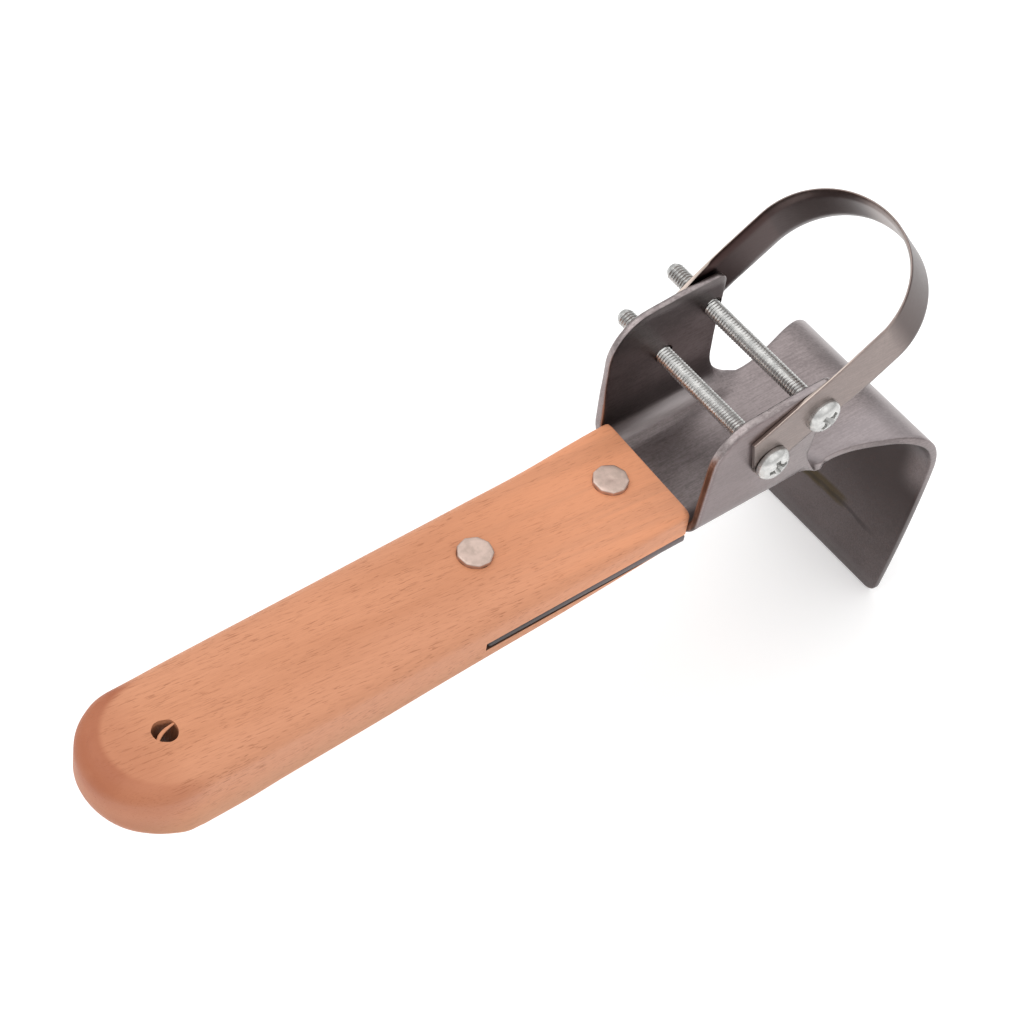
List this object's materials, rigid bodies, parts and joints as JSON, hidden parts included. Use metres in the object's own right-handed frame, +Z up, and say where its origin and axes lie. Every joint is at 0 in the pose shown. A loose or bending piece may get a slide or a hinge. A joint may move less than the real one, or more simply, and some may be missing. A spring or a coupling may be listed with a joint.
{
  "type": "hoof knife",
  "caption": "Hoof trimming hand tool with a wooden grip, a folded steel frame ending in a hook scraper, and a screwed-on steel loop blade.",
  "frame": {"origin": "on the axis of the hanging hole, 8 mm below the flat top of the wood", "axes": "+X from the butt towards the blades, +Y towards the nut side, +Z up, away from the hook blade"},
  "size_m": [0.2047, 0.0506, 0.1073],
  "materials": {
    "wood": "sanded beech, thin oil",
    "frame_steel": "rolled sheet, faintly brushed, satin",
    "strip_steel": "spring strip, satin",
    "nickel": "matt nickel",
    "zinc": "bright zinc plate"
  },
  "bodies": {
    "root": {"handle": "wood", "tool_frame": "frame_steel", "loop_blade": "strip_steel", "rivet_rear": "nickel", "rivet_front": "nickel", "screw_lower": "zinc", "screw_upper": "zinc", "nut_lower": "zinc", "nut_upper": "zinc"}
  },
  "joints": []
}
